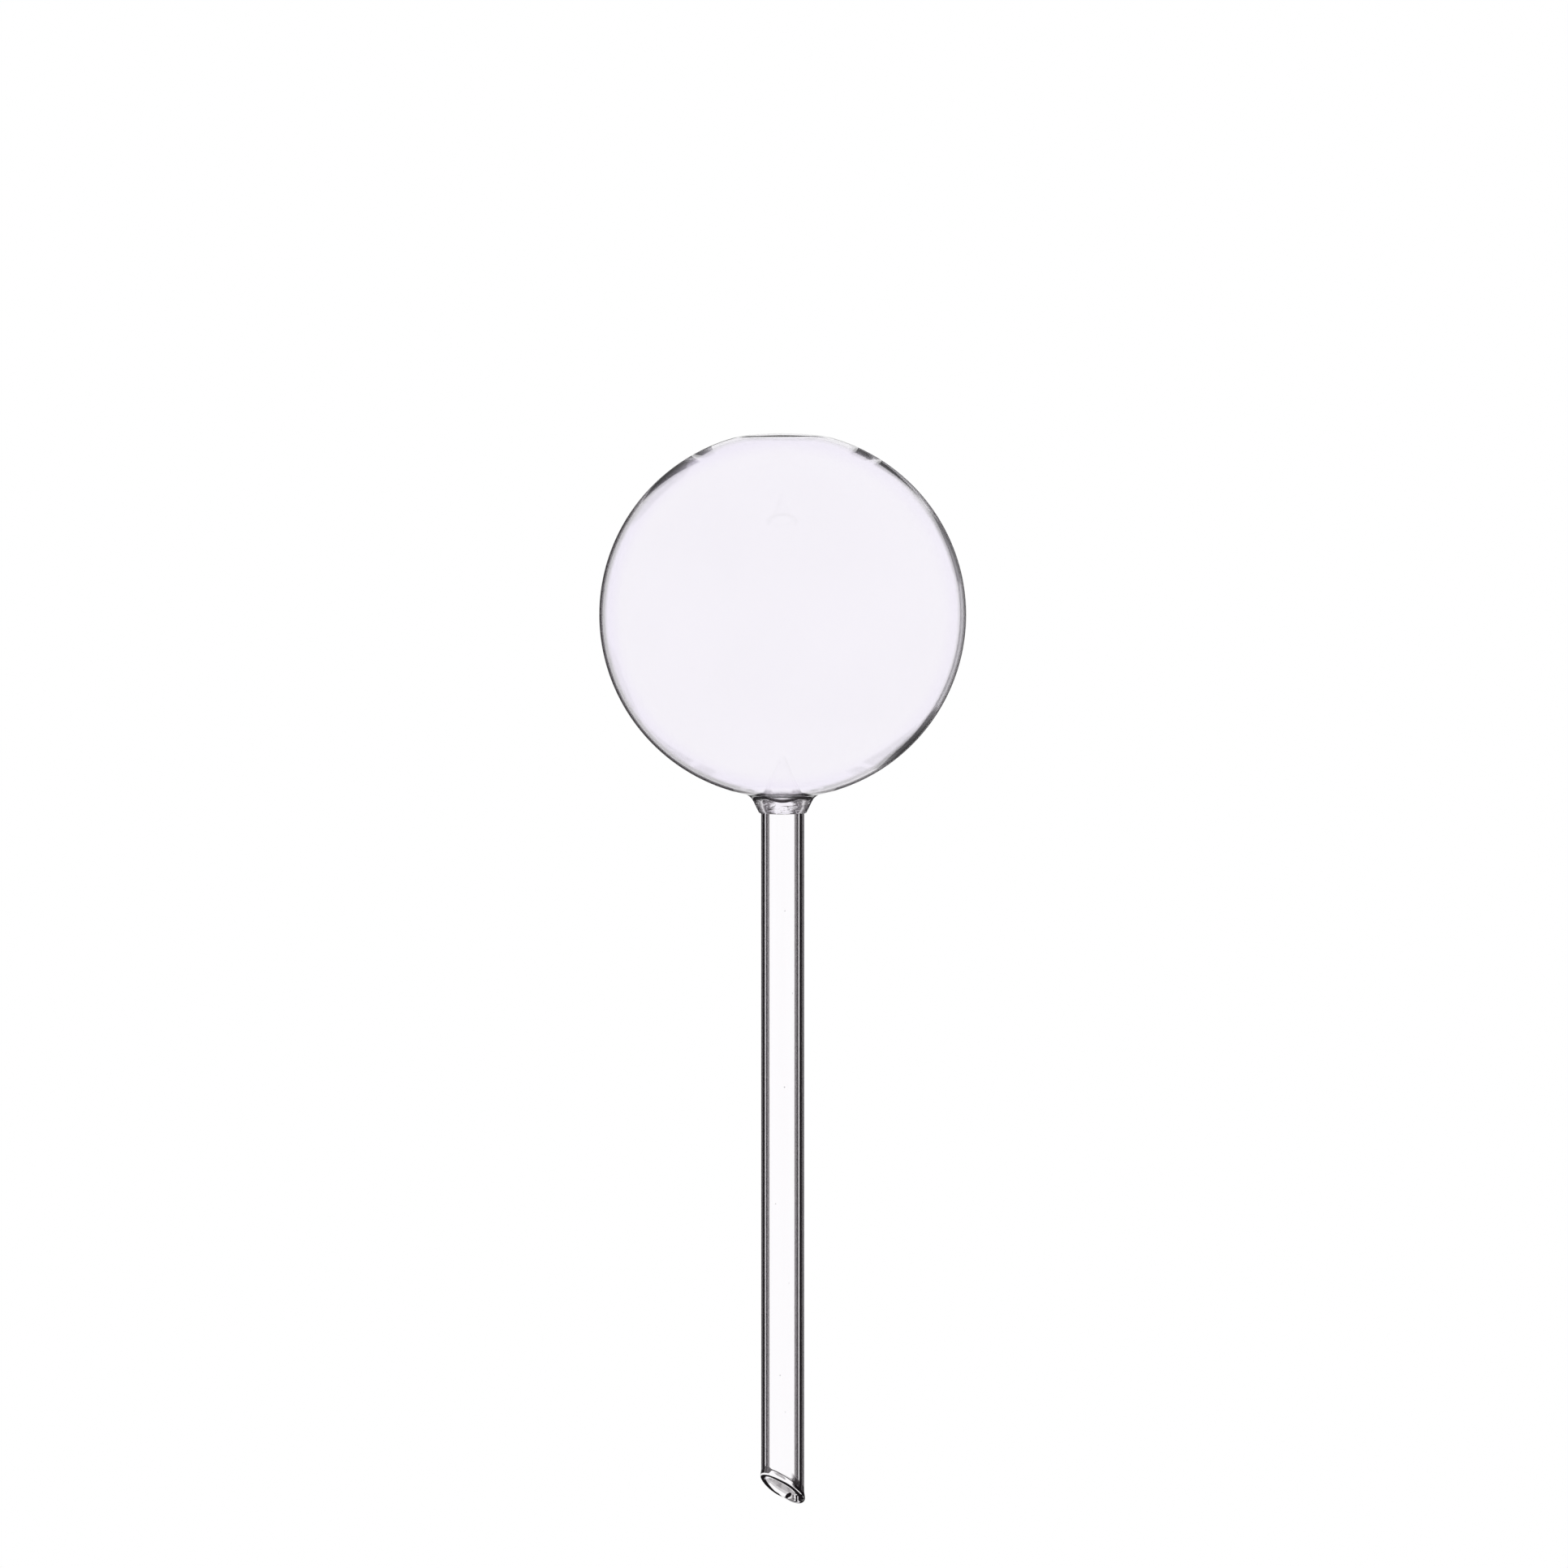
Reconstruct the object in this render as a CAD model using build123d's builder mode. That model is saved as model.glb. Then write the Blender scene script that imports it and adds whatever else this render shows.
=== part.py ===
from build123d import *
import math
import os

# Watering globe in clear borosilicate glass: a blown bulb that holds the water, a heavy flared
# seal that joins it to the stem, and an open tube stem that is pushed into the soil. The three
# are blown, flared and drawn as separate blanks and then welded in the flame.
# Lengths are in millimetres and angles in degrees. Z runs up the axis, and zero is the lowest
# point of the stem's tip. Seen from the front, +X is on the right and +Y points away.

# Stem: standard borosilicate tube
stem_diameter = 10.0
stem_wall = 1.0
stem_length = 161.6

# Tip: cut on a slant, so that soil can't plug the bore, and melted round in the flame. Its low
# side is turned this far from +X towards +Y
tip_slant = 38.0
tip_turn = 42.0
lip_swell = 0.2

# Bulb: blown sphere, its crown a little flattened where it cooled
bulb_diameter = 85.0
bulb_wall = 0.8
crown_radius = 80.0
crown_drop = 0.5
crown_blend = 14.0

# Seal: the flare between the shoulder on top of the stem and the underside of the bulb
seal_height = 3.5
shoulder_step = 0.45
shoulder_round = 0.35
flare_angle = 26.5
flare_blend = 3.2
funnel_angle = 10.0
mouth_round = 3.8
weld_diameter = 20.0

# Overrun of cutting solids past the glass
overrun = 5.0

# Worked out from the sizes above
stem_radius = stem_diameter / 2
bore_radius = stem_radius - stem_wall
wall_middle = (stem_radius + bore_radius) / 2
lip_radius = stem_wall / 2 + lip_swell
tip_height = lip_radius + wall_middle * math.tan(math.radians(tip_slant))

bulb_radius = bulb_diameter / 2
cavity_radius = bulb_radius - bulb_wall
bulb_height = stem_length + seal_height + bulb_radius
crown_height = bulb_height + bulb_radius - crown_drop
crown_centre = crown_height - crown_radius

shoulder_radius = stem_radius + shoulder_step
flare_rise = seal_height + bulb_wall + mouth_round
flare_top_radius = shoulder_radius + flare_rise * math.tan(math.radians(flare_angle))
funnel_top_radius = bore_radius + flare_rise * math.tan(math.radians(funnel_angle))
weld_angle = math.degrees(math.asin(weld_diameter / bulb_diameter))

slanted_plane = Plane.XY.offset(tip_height).rotated((0, tip_slant, 0))
tip_plane = slanted_plane.rotated((0, 0, tip_turn))


def corners_right_of_axis(corners):
    """The corners of a profile that stand off the axis on its right, from the lowest up."""
    return corners.filter_by(lambda corner: corner.X > bore_radius / 2).sort_by(Axis.Y)


def keep_right_half():
    """Cut the profile that is being drawn down to its half right of the axis."""
    reach = bulb_diameter + overrun
    with Locations((reach / 2, bulb_height)):
        Rectangle(reach, 2 * reach, mode=Mode.INTERSECT)


# Outer profile: the sphere with its flatter crown, standing on the flare
with BuildSketch(Plane.XZ) as outer_profile:
    with Locations((0, bulb_height)):
        Circle(bulb_radius)
    with Locations((0, crown_centre)):
        Circle(crown_radius, mode=Mode.INTERSECT)
    fillet(corners_right_of_axis(outer_profile.vertices())[-1], crown_blend)
    with BuildLine():
        Polyline(
            (0, stem_length),
            (shoulder_radius, stem_length),
            (flare_top_radius, stem_length + flare_rise),
            (0, stem_length + flare_rise),
            close=True,
        )
    make_face()
    keep_right_half()
    shoulder_corner, flare_corner = corners_right_of_axis(outer_profile.vertices())[:2]
    fillet(flare_corner, flare_blend)
    fillet(shoulder_corner, shoulder_round)

# Inner profile: one wall inside the sphere and the crown, funnelling down into the bore
with BuildSketch(Plane.XZ) as cavity_profile:
    with Locations((0, bulb_height)):
        Circle(cavity_radius)
    with Locations((0, crown_centre)):
        Circle(crown_radius - bulb_wall, mode=Mode.INTERSECT)
    fillet(corners_right_of_axis(cavity_profile.vertices())[-1], crown_blend - bulb_wall)
    with BuildLine():
        Polyline(
            (0, stem_length),
            (bore_radius, stem_length),
            (funnel_top_radius, stem_length + flare_rise),
            (0, stem_length + flare_rise),
            close=True,
        )
    make_face()
    keep_right_half()
    mouth_corner = corners_right_of_axis(cavity_profile.vertices())[1]
    fillet(mouth_corner, mouth_round)

# The glass above the shoulder, before the weld parts it
with BuildPart() as upper_glass:
    with BuildSketch(Plane.XZ):
        add(outer_profile.sketch_local)
    revolve(axis=Axis.Z)
    with BuildSketch(Plane.XZ):
        add(cavity_profile.sketch_local)
    revolve(axis=Axis.Z, mode=Mode.SUBTRACT)

# The weld stands square to the wall, on a cone whose point is the centre of the sphere
with BuildPart(Plane.XY.offset(bulb_height)) as weld_cone:
    weld_depth = bulb_radius + seal_height + overrun
    Cone(
        bottom_radius=weld_depth * math.tan(math.radians(weld_angle)),
        top_radius=0,
        height=weld_depth,
        align=(Align.CENTER, Align.CENTER, Align.MAX),
    )

with BuildPart() as bulb:
    add(upper_glass.part)
    add(weld_cone.part, mode=Mode.SUBTRACT)

with BuildPart() as neck_seal:
    add(upper_glass.part)
    add(weld_cone.part, mode=Mode.INTERSECT)

# Stem: tube cut on the slant, its cut end gathered into a round lip
with BuildPart() as stem:
    with BuildSketch(Plane.XY):
        Circle(stem_radius)
        Circle(bore_radius, mode=Mode.SUBTRACT)
    extrude(amount=stem_length)
    split(bisect_by=tip_plane, keep=Keep.TOP)
    with BuildLine(tip_plane) as lip_path:
        EllipticalCenterArc(
            center=(0, 0),
            x_radius=wall_middle / math.cos(math.radians(tip_slant)),
            y_radius=wall_middle,
            arc_size=360,
        )
    with BuildSketch(Plane(origin=lip_path.line @ 0, z_dir=lip_path.line % 0)):
        Circle(lip_radius)
    sweep(path=lip_path.line)

os.makedirs("parts", exist_ok=True)

bulb.part.label = "bulb"
export_step(bulb.part, "parts/bulb.step")

neck_seal.part.label = "neck_seal"
export_step(neck_seal.part, "parts/neck_seal.step")

stem.part.label = "stem"
export_step(stem.part, "parts/stem.step")

for piece in (bulb, neck_seal, stem):
    print(f"{piece.part.label}: {piece.part.volume:.1f} mm3")
print(f"height {crown_height:.1f} mm")
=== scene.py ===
"""Glass watering globe: a blown bulb, the flared seal under it and an open tube stem.

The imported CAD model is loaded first. Each operator makes one piece of glass in its place, and
the last one makes the studio: floor, light, camera and the white tent that the glass shows.
Lengths are in metres. Z runs up the axis from the tip, and the camera looks along +Y.
"""

import math

import bpy
import numpy as np
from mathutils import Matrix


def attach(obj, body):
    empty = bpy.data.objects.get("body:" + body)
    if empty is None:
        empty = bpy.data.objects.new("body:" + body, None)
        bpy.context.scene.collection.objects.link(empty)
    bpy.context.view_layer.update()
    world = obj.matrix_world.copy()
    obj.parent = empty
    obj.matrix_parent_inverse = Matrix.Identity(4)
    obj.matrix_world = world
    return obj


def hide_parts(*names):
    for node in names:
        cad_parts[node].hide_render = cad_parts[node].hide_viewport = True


bl_info = {
    "name": "Watering Globe",
    "version": (1, 0, 0),
    "blender": (4, 5, 0),
    "location": "View3D > Sidebar > Watering Globe",
    "description": "Makes a glass watering globe and the studio that it stands in",
    "category": "Add Mesh",
}

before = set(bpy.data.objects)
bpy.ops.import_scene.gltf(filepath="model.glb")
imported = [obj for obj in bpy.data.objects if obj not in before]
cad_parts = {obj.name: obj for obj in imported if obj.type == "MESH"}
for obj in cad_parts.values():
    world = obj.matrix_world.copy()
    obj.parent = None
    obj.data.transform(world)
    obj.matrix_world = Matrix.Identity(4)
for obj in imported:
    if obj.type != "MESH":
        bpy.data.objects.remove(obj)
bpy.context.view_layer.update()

MM = 0.001
TURNS = 256
GLASS, WELD = 0, 1
WHITE = (1.0, 1.0, 1.0, 1.0)


# Sizes and colours that a user would change


def in_mm(name, description, millimetres):
    """A length property whose default is given in millimetres."""
    return bpy.props.FloatProperty(
        name=name, description=description, default=millimetres * MM, unit="LENGTH", precision=5,
    )


def in_degrees(name, description, degrees):
    """An angle property whose default is given in degrees."""
    return bpy.props.FloatProperty(
        name=name, description=description, default=math.radians(degrees), subtype="ANGLE",
    )


def as_colour(name, description, red, green, blue):
    """A colour property."""
    return bpy.props.FloatVectorProperty(
        name=name, description=description, default=(red, green, blue), size=3,
        subtype="COLOR", min=0, max=1,
    )


class BulbSizes(bpy.types.PropertyGroup):
    """Sizes of the blown bulb."""

    diameter: in_mm("Diameter", "Outside diameter of the sphere", 85)
    wall: in_mm("Wall", "Thickness of the blown wall", 0.82)
    crown_radius: in_mm("Crown radius", "Radius of the flatter cap on top", 80)
    crown_drop: in_mm("Crown drop", "How far the crown lies under the sphere's top", 0.5)
    crown_blend: in_mm("Crown blend", "Radius of the round between crown and sphere", 14)
    lean: in_mm("Uneven wall", "How far the hollow lies off the axis, to the left", 0.13)


class SealSizes(bpy.types.PropertyGroup):
    """Sizes of the flared seal between bulb and stem."""

    height: in_mm("Height", "From the shoulder to the sphere's lowest point", 3.5)
    shoulder_step: in_mm("Shoulder step", "How far the shoulder stands out from the stem", 0.45)
    shoulder_round: in_mm("Shoulder round", "Radius at the foot of the flare", 0.35)
    flare_angle: in_degrees("Flare angle", "Slope of the flare against the axis", 26.5)
    flare_blend: in_mm("Flare blend", "Radius between flare and sphere", 3.2)
    funnel_angle: in_degrees("Funnel angle", "Slope of the inside against the axis", 10)
    funnel_ease: in_mm("Funnel ease", "Height over which the bore opens into the funnel", 1)
    mouth_round: in_mm("Mouth round", "Radius where the hollow turns into the funnel", 3.8)
    weld_diameter: in_mm("Weld diameter", "Where the bulb was welded on", 20)
    bubbles: bpy.props.IntProperty(
        name="Bubbles", description="Small bubbles caught in the glass", default=16, min=0,
    )


class StemSizes(bpy.types.PropertyGroup):
    """Sizes of the tube stem and its slanted tip."""

    diameter: in_mm("Diameter", "Outside diameter of the tube", 10)
    bore: in_mm("Bore", "Inside diameter of the tube", 7.8)
    length: in_mm("Length", "From the tip's lowest point to the shoulder", 161.6)
    slant: in_degrees("Slant", "Angle of the cut at the tip", 38)
    turn: in_degrees("Turn", "Where the tip's low side faces, from +X towards +Y", 42)
    lip_radius: in_mm("Lip radius", "Radius of the melted lip", 0.7)
    lip_fade: in_mm("Lip fade", "Height over which the lip's swelling runs out", 1.6)


class GlassLook(bpy.types.PropertyGroup):
    """Colours of the glass."""

    clear: as_colour("Clear", "Tint of the bulb where it is seen squarely", 0.957, 0.943, 0.974)
    tube: as_colour("Tube", "Tint of the drawn tube", 0.995, 0.988, 0.998)
    # Colour of the painted shade: a near-black diffuse shader mixed into the glass where the
    # wall is seen on edge
    edge: as_colour("Edge", "The dark where the wall is seen on edge", 0.012, 0.010, 0.012)
    # Tint of the glass where the painted shade lies
    painted_shade: as_colour("Shade_tint", "Tint of light that still passes there", 0.92, 0.80, 0.87)
    index: bpy.props.FloatProperty(
        name="Refraction", description="Refractive index of borosilicate glass",
        default=1.47, min=1, max=2,
    )


class StudioSettings(bpy.types.PropertyGroup):
    """Camera, floor and light."""

    distance: in_mm("Camera distance", "From the camera to the axis", 2000)
    height: in_mm("Camera height", "Height of the camera above the tip", 290)
    aim: in_mm("Aim height", "Height that the camera looks at", 168.34)
    aside: in_mm("Aside", "How far the view is moved to the right", 0.3)
    view_width: in_mm("View width", "Width of the picture at the globe", 363.6)
    floor_radius: in_mm("Floor radius", "Radius of the round floor", 500)
    floor_drop: in_mm("Floor drop", "How far the floor lies under the held globe", 100)
    paper: as_colour("Paper", "Colour of the floor", 0.93, 0.93, 0.935)
    lamp_power: bpy.props.FloatProperty(
        name="Lamp power", description="Power of the soft lamp in watts", default=9.0,
    )


# Curves and surfaces as arrays


def ease(share):
    """Rises from 0 to 1 with level ends: three times the square less twice the cube."""
    share = np.clip(share, 0.0, 1.0)
    return share * share * (3.0 - 2.0 * share)


def arc(centre, radius, first, last, count):
    """Profile points on a circle's arc: the centre plus the radius times the cosine and sine of
    an angle that runs evenly from first to last."""
    angle = np.linspace(first, last, count)
    return np.stack(
        [centre[0] + radius * np.cos(angle), centre[1] + radius * np.sin(angle)], axis=1
    )


def straight(start, end, count):
    """Profile points on a line, evenly from start to end."""
    share = np.linspace(0.0, 1.0, count)[:, None]
    return np.asarray(start) * (1.0 - share) + np.asarray(end) * share


def joined(*runs):
    """One profile from runs that meet end to start, each shared point kept once."""
    return np.concatenate([runs[0]] + [run[1:] for run in runs[1:]])


def angle_to(start, end):
    """Angle of the line from start to end, from the radius up to the axis."""
    return math.atan2(end[1] - start[1], end[0] - start[0])


def turn_angles():
    """The angles of a surface's columns, evenly round the axis from +X towards +Y."""
    return np.arange(TURNS) * (2 * math.pi / TURNS)


def about_axis(radius, height, angle):
    """Points in rows and columns: the radius times the angle's cosine and sine, at a height."""
    return np.stack(
        np.broadcast_arrays(radius * np.cos(angle), radius * np.sin(angle), height), axis=-1
    )


def revolved(profile):
    """Grid of points, one row for each profile point and one column for each angle."""
    return about_axis(profile[:, :1], profile[:, 1:], turn_angles())


def normals_of(grid):
    """Unit normals of a grid that runs down its rows: the slope along each column, taken over
    the real spacing of the rows, crossed with the step between the columns on either side."""
    step = np.linalg.norm(np.diff(grid, axis=0), axis=2).mean(axis=1)
    place = np.concatenate([[0.0], np.cumsum(np.maximum(step, 1e-9))])
    down = np.gradient(grid, place, axis=0, edge_order=2)
    around = np.roll(grid, -1, axis=1) - np.roll(grid, 1, axis=1)
    normal = np.cross(down, around)
    return normal / np.linalg.norm(normal, axis=2, keepdims=True)


# Radius of the first ring of points round the pole, in millimetres
POLE_RING = 0.4


def crown_profile(sizes, centre_height, radius, thinner, stop):
    """Profile of a bulb surface from near the pole down to the angle stop: an arc of the flat
    crown, the round that blends it, and the sphere. The round's centre lies inside both arcs
    by its own radius, which gives two circles whose crossing is worked out here."""
    blend = sizes.crown_blend - thinner
    crown = sizes.crown_radius - thinner
    top = centre_height + sizes.diameter / 2 - sizes.crown_drop
    crown_centre = (0.0, top - sizes.crown_radius)
    sphere_centre = (0.0, centre_height)
    apart = centre_height - crown_centre[1]
    from_crown, from_sphere = crown - blend, radius - blend
    along = (from_crown**2 - from_sphere**2 + apart**2) / (2 * apart)
    blend_centre = (math.sqrt(from_crown**2 - along**2), crown_centre[1] + along)
    upper = angle_to(crown_centre, blend_centre)
    lower = angle_to(sphere_centre, blend_centre)
    nearly_up = math.pi / 2 - POLE_RING * MM / crown
    return joined(
        arc(crown_centre, crown, nearly_up, upper, count=14),
        arc(blend_centre, blend, upper, lower, count=12),
        arc(sphere_centre, radius, lower, stop, count=164),
    )


def round_centre(centre_height, radius, blend, foot, foot_height, slope):
    """Centre of the round between a sphere and a cone that opens upwards from its foot. It lies
    one blend outside the sphere and one blend outside the cone. Its height above the foot is
    the lower root of the quadratic equation that these two distances give."""
    tangent = math.tan(slope)
    near = foot + blend / math.cos(slope)
    rise = centre_height - foot_height
    a = 1 + tangent**2
    b = 2 * (tangent * near - rise)
    c = near**2 + rise**2 - (radius + blend) ** 2
    up = (-b - math.sqrt(b * b - 4 * a * c)) / (2 * a)
    return near + up * tangent, foot_height + up


def all_sizes():
    """The sizes of the bulb, the seal and the stem."""
    scene = bpy.context.scene
    return scene.globe_bulb, scene.globe_seal, scene.globe_stem


def bulb_centre_height():
    """Height of the sphere's centre: stem, seal and the sphere's radius added up."""
    bulb, seal, stem = all_sizes()
    return stem.length + seal.height + bulb.diameter / 2


def weld_angle():
    """Angle of the weld's ring on the sphere, from level."""
    scene = bpy.context.scene
    return math.asin(scene.globe_seal.weld_diameter / scene.globe_bulb.diameter) - math.pi / 2


def outer_surface():
    """Outside of bulb and seal from crown to shoulder, and the row on which the weld lies."""
    bulb, seal, stem = all_sizes()
    height, radius = bulb_centre_height(), bulb.diameter / 2
    centre, weld = (0.0, height), weld_angle()
    shoulder = stem.diameter / 2 + seal.shoulder_step
    slope = seal.flare_angle
    blend_centre = round_centre(height, radius, seal.flare_blend, shoulder, stem.length, slope)
    blend_top = angle_to(blend_centre, centre)
    blend_end = math.pi - slope
    foot_centre = (
        shoulder + seal.shoulder_round * (math.tan(slope) - 1 / math.cos(slope)),
        stem.length + seal.shoulder_round,
    )
    blend_arc = arc(blend_centre, seal.flare_blend, blend_top, blend_end, count=26)
    foot_arc = arc(foot_centre, seal.shoulder_round, -slope, -math.pi / 2, count=12)
    crown = crown_profile(bulb, height, radius, 0.0, weld)
    profile = joined(
        crown,
        arc(centre, radius, weld, blend_top - math.pi, count=5),
        blend_arc,
        straight(blend_arc[-1], foot_arc[0], count=18),
        foot_arc,
        straight(foot_arc[-1], (stem.diameter / 2, stem.length), count=4),
    )
    return revolved(profile), len(crown) - 1


def inner_surface():
    """Inside of bulb and seal from crown to the top of the bore, and the weld's row. The bore
    opens into the funnel with the square of the height. The hollow lies a little off the axis,
    and the funnel has the rings that the flame left."""
    bulb, seal, stem = all_sizes()
    height, radius = bulb_centre_height(), bulb.diameter / 2 - bulb.wall
    centre, weld = (0.0, height), weld_angle()
    slope, eased = seal.funnel_angle, seal.funnel_ease
    bore = stem.bore / 2
    foot = bore - math.tan(slope) * eased / 2
    blend_centre = round_centre(height, radius, seal.mouth_round, foot, stem.length, slope)
    blend_top = angle_to(blend_centre, centre)
    blend_arc = arc(blend_centre, seal.mouth_round, blend_top, math.pi - slope, count=40)
    ease_top = (foot + math.tan(slope) * eased, stem.length + eased)
    up = np.linspace(eased, 0.0, 30)
    opening = np.stack(
        [bore + math.tan(slope) * up**2 / (2 * eased), stem.length + up], axis=1
    )
    crown = crown_profile(bulb, height, radius, bulb.wall, weld)
    profile = joined(
        crown,
        arc(centre, radius, weld, blend_top - math.pi, count=8),
        blend_arc,
        straight(blend_arc[-1], ease_top, count=40),
        opening,
    )
    grid = rippled(revolved(profile), stem.length)
    grid[:, :, 0] -= bulb.lean
    return grid, len(crown) - 1


# Rings that the flame left in the funnel: height above the shoulder, half width and depth, all
# in millimetres, then how many times round the ring swells, and where it starts
FLAME_RINGS = (
    (0.42, 0.16, 0.05, 3, 0.4),
    (1.00, 0.20, 0.09, 2, 2.6),
    (1.62, 0.20, 0.17, 1, 5.9),
    (2.32, 0.22, 0.10, 2, 1.2),
    (3.05, 0.35, 0.08, 3, 3.9),
)
RING_DRIFT, RING_FADE = 0.12, 0.35


def rippled(grid, shoulder_height):
    """The funnel's surface with its flame rings. A point moves towards the axis by each ring's
    depth times a bell curve of its height, times 0.55 plus 0.45 of a sine of the angle. The
    rings also drift up and down with the angle, and fade out over RING_FADE at the foot, so
    that the bore meets the stem's."""
    angle = turn_angles()[None, :]
    up = (grid[:, :, 2] - shoulder_height) / MM
    inward = np.zeros(up.shape)
    for height, width, depth, swells, start in FLAME_RINGS:
        drift = RING_DRIFT * np.sin(angle + start)
        bell = np.exp(-(((up - height - drift) / width) ** 2))
        inward += depth * bell * (0.55 + 0.45 * np.sin(swells * angle + start))
    inward *= ease(up / RING_FADE) * MM
    radius = np.hypot(grid[:, :, 0], grid[:, :, 1])
    moved = grid.copy()
    moved[:, :, :2] *= (1.0 - inward / radius)[:, :, None]
    return moved


# How far the lip's middle line lies inside the stem's outside, in millimetres, and the waves of
# the melted lip: share of its radius, how many times round, and where each starts
LIP_INSET = 0.5
LIP_WAVES = ((0.05, 3, 1.0), (0.04, 5, 4.0))


def stem_surface():
    """Rows of the stem's whole skin, from the top of its outside down to the lip, round it and
    up the bore. The lip's middle line is the ellipse where the slanted cut meets the middle of
    the wall, and its section is a circle square to that line. Each wall stands straight up from
    the lip's widest point, and the lip's swelling eases out above it. The rows' heights over
    the lip go with the power 2.2 of an even step, so that they crowd there. Over the swelling
    the bore lies off the axis like the hollow."""
    scene = bpy.context.scene
    stem, lean = scene.globe_stem, scene.globe_bulb.lean
    angle = turn_angles()
    radius, bore = stem.diameter / 2, stem.bore / 2
    middle = stem.diameter / 2 - LIP_INSET * MM
    slope = math.tan(stem.slant)
    low = stem.lip_radius + middle * slope
    line_height = low - middle * slope * np.cos(angle - stem.turn)
    outward = about_axis(1.0, 0.0, angle)
    tangent = about_axis(1.0, slope * np.sin(angle - stem.turn), angle + math.pi / 2)
    tangent /= np.linalg.norm(tangent, axis=1, keepdims=True)
    down = np.cross(tangent, outward)
    line = about_axis(middle, line_height, angle)
    melt = 1.0
    for share, swells, start in LIP_WAVES:
        melt = melt + share * np.sin(swells * angle + start)
    lip = stem.lip_radius * melt

    rise = (np.linspace(1.0, 0.0, 64)[:, None] ** 2.2) * (stem.length - line_height)
    height = line_height + rise
    swell = 1.0 - ease(rise / stem.lip_fade)
    out_radius = radius + (middle + lip - radius) * swell
    outside = about_axis(out_radius, height, angle)
    section = np.linspace(0.0, math.pi, 26)[1:-1, None, None]
    round_lip = line + lip[:, None] * (np.cos(section) * outward + np.sin(section) * down)
    in_radius = bore + (middle - lip - bore) * swell
    inside = about_axis(in_radius, height, angle)
    inside[:, :, 0] -= lean * (1.0 - swell)
    return np.concatenate([outside, round_lip, inside[::-1]])


# Meshes from grids


def grid_faces(rows, closed, columns=TURNS):
    """Four-cornered faces between neighbouring rows of a grid whose points are numbered row by
    row. The last column meets the first, and a closed grid's last row meets its first row."""
    here = np.arange(rows if closed else rows - 1)[:, None]
    below = (here + 1) % rows
    column = np.arange(columns)[None, :]
    beside = (column + 1) % columns
    corners = [
        here * columns + column, below * columns + column,
        below * columns + beside, here * columns + beside,
    ]
    return np.stack(corners, axis=2).reshape(-1, 4)


def fan_faces(pole, ring_start, downwards, columns=TURNS):
    """Triangles between a pole and the ring of points next to it."""
    column = ring_start + np.arange(columns)
    beside = np.roll(column, -1)
    pair = (column, beside) if downwards else (beside, column)
    return np.stack([np.full(columns, pole), *pair], axis=1)


def bubble(centre, size):
    """Points, faces and normals of a bubble: a small ellipsoid, its size times the cosine and
    sine of latitude and longitude. Its faces point into the bubble, away from the glass."""
    rings, spokes = 9, 14
    latitude = np.linspace(math.pi / 2, -math.pi / 2, rings + 2)[1:-1, None]
    longitude = np.arange(spokes)[None, :] * (2 * math.pi / spokes)
    ball = about_axis(np.cos(latitude), np.sin(latitude), longitude).reshape(-1, 3)
    ball = np.concatenate([ball, [[0.0, 0.0, 1.0], [0.0, 0.0, -1.0]]])
    size = np.asarray(size)
    points = np.asarray(centre) + ball * size
    normals = -ball / size
    normals /= np.linalg.norm(normals, axis=1, keepdims=True)
    quads = grid_faces(rings, False, spokes)[:, [0, 3, 2, 1]]
    count = rings * spokes
    top = fan_faces(count, 0, False, spokes)
    base = fan_faces(count + 1, count - spokes, True, spokes)
    caps = np.concatenate([top, base])
    return points, quads, caps, normals


def glass_object(name, shape, materials):
    """Makes the mesh object. Its normals are the surfaces' own, so that glass on both sides of
    a weld bends light alike, and its weld faces get the second material."""
    points, normals, quads, weld_quads, triangles = shape
    mesh = bpy.data.meshes.new(name)
    faces = quads.tolist() + weld_quads.tolist() + triangles.tolist()
    mesh.from_pydata(points.tolist(), [], faces)
    slots = np.full(len(faces), GLASS, np.int32)
    slots[len(quads) : len(quads) + len(weld_quads)] = WELD
    for material in materials:
        mesh.materials.append(material)
    mesh.polygons.foreach_set("material_index", slots)
    mesh.polygons.foreach_set("use_smooth", np.ones(len(faces), bool))
    mesh.update()
    mesh.normals_split_custom_set_from_vertices(normals.tolist())
    made = bpy.data.objects.new(name, mesh)
    bpy.context.collection.objects.link(made)
    return made


def skin(rows, normals, weld_bands, closed):
    """One glass skin: its points and normals, its faces apart from the bands that lie in a
    weld, the faces of those bands, and triangles, of which it has none yet."""
    quads = grid_faces(len(rows), closed).reshape(-1, TURNS, 4)
    in_weld = np.zeros(len(quads), bool)
    in_weld[weld_bands] = True
    return (
        rows.reshape(-1, 3),
        normals.reshape(-1, 3),
        quads[~in_weld].reshape(-1, 4),
        quads[in_weld].reshape(-1, 4),
        np.zeros((0, 3), int),
    )


def with_bubbles(shape, bubbles):
    """Adds bubbles to a skin, each given as a centre and its three half sizes."""
    points, normals, quads, weld_quads, triangles = shape
    for centre, size in bubbles:
        more, more_quads, more_caps, more_normals = bubble(centre, size)
        quads = np.concatenate([quads, more_quads + len(points)])
        triangles = np.concatenate([triangles, more_caps + len(points)])
        points = np.concatenate([points, more])
        normals = np.concatenate([normals, more_normals])
    return points, normals, quads, weld_quads, triangles


# Materials


def sums(operation, swapped=False):
    """A method that adds the Math node of that operation, its two values swapped or not."""

    def method(self, other):
        first, second = (other, self) if swapped else (self, other)
        return self.nodes.math(operation, first, second)

    return method


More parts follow.
